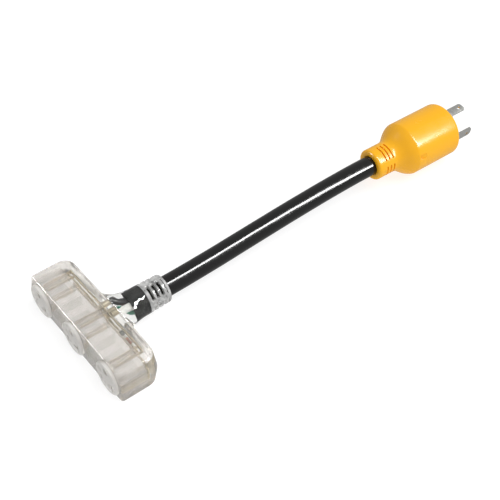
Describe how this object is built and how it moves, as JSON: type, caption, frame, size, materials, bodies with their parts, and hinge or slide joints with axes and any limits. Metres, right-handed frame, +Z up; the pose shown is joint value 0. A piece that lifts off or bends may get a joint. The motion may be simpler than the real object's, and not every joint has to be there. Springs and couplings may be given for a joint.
{
  "type": "locking plug to outlet block power adapter",
  "caption": "Short power adapter: round yellow locking plug, thick black cord and a clear block with a row of grounded outlets.",
  "frame": {"origin": "middle of the footprint, on the surface that the block and the plug lie on", "axes": "+X from the outlet block to the plug's blades, +Y along the block, +Z up"},
  "size_m": [0.3656, 0.1164, 0.043],
  "materials": {
    "clear_pvc": "clear flexible moulded PVC, glossy",
    "carrier_plastic": "pale frosted moulded plastic",
    "face_plastic": "pale moulded plastic, fine texture",
    "brass": "stamped sheet, bright",
    "lamp_glass": "small clear lamp",
    "resistor_body": "lacquered",
    "tinned_wire": "tinned wire",
    "jacket": "glossy black cord jacket",
    "black_insulation": "smooth",
    "white_insulation": "smooth",
    "green_insulation": "smooth",
    "copper": "bare stranded copper",
    "yellow_pvc": "satin moulded PVC, safety yellow",
    "plug_core": "moulded nylon, satin",
    "nickel": "nickel plated brass, satin"
  },
  "bodies": {
    "root": {"clear_housing": "clear_pvc", "contact_carrier": "carrier_plastic", "carrier_cover": "carrier_plastic", "outlet_face_left": "face_plastic", "outlet_face_middle": "face_plastic", "outlet_face_right": "face_plastic", "ground_strip": "brass", "hot_strip": "brass", "neutral_strip": "brass", "indicator_lamp": "lamp_glass", "lamp_resistor": "resistor_body", "lamp_leads": "tinned_wire", "cord_jacket": "jacket", "hot_insulation": "black_insulation", "neutral_insulation": "white_insulation", "ground_insulation": "green_insulation", "hot_strands": "copper", "neutral_strands": "copper", "ground_strands": "copper", "plug_shell": "yellow_pvc", "blade_carrier": "plug_core", "ground_blade": "nickel", "hot_blade": "nickel", "neutral_blade": "nickel"}
  },
  "joints": []
}
